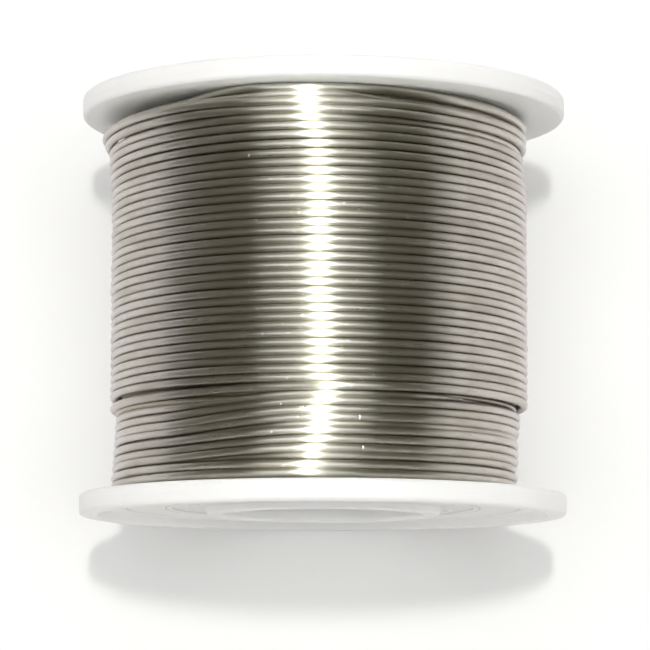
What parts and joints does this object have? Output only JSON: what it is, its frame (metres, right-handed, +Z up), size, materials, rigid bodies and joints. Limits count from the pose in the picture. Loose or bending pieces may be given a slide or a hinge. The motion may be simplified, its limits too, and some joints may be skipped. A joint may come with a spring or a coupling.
{
  "type": "solder wire spool",
  "caption": "White plastic spool lying on its rims, wound with bright cored solder wire, with a through bore for a stand's rod and a loose wire end.",
  "frame": {"origin": "middle of the spool, on the axis of the bore", "axes": "+Y along the bore towards the far flange, +Z up, +X right; the spool lies on the rims of its two flanges"},
  "size_m": [0.06, 0.052, 0.06],
  "materials": {
    "flange_plastic": "moulded white polystyrene, satin",
    "barrel_plastic": "moulded, plain",
    "label_paper": "white coated paper, unprinted",
    "solder": "bright drawn tin-lead wire",
    "flux": "amber rosin"
  },
  "bodies": {
    "spool": {"far_flange": "flange_plastic", "near_flange": "flange_plastic", "core_barrel": "barrel_plastic", "far_label": "label_paper", "near_label": "label_paper", "solder_inner_layers": "solder", "solder_outer_layer": "solder", "solder_under_layer": "solder", "solder_free_run": "solder", "solder_start_tail": "solder", "start_tail_flux_core": "flux"},
    "free_end": {"solder_free_tip": "solder", "free_tip_flux_core": "flux"}
  },
  "joints": [
    {"name": "free_end_bend", "type": "hinge", "parent": "spool", "child": "free_end", "pos_m": [-0.01796, -0.01418, -0.01909], "axis": [0, 1, 0], "range_deg": [0, 90]}
  ]
}
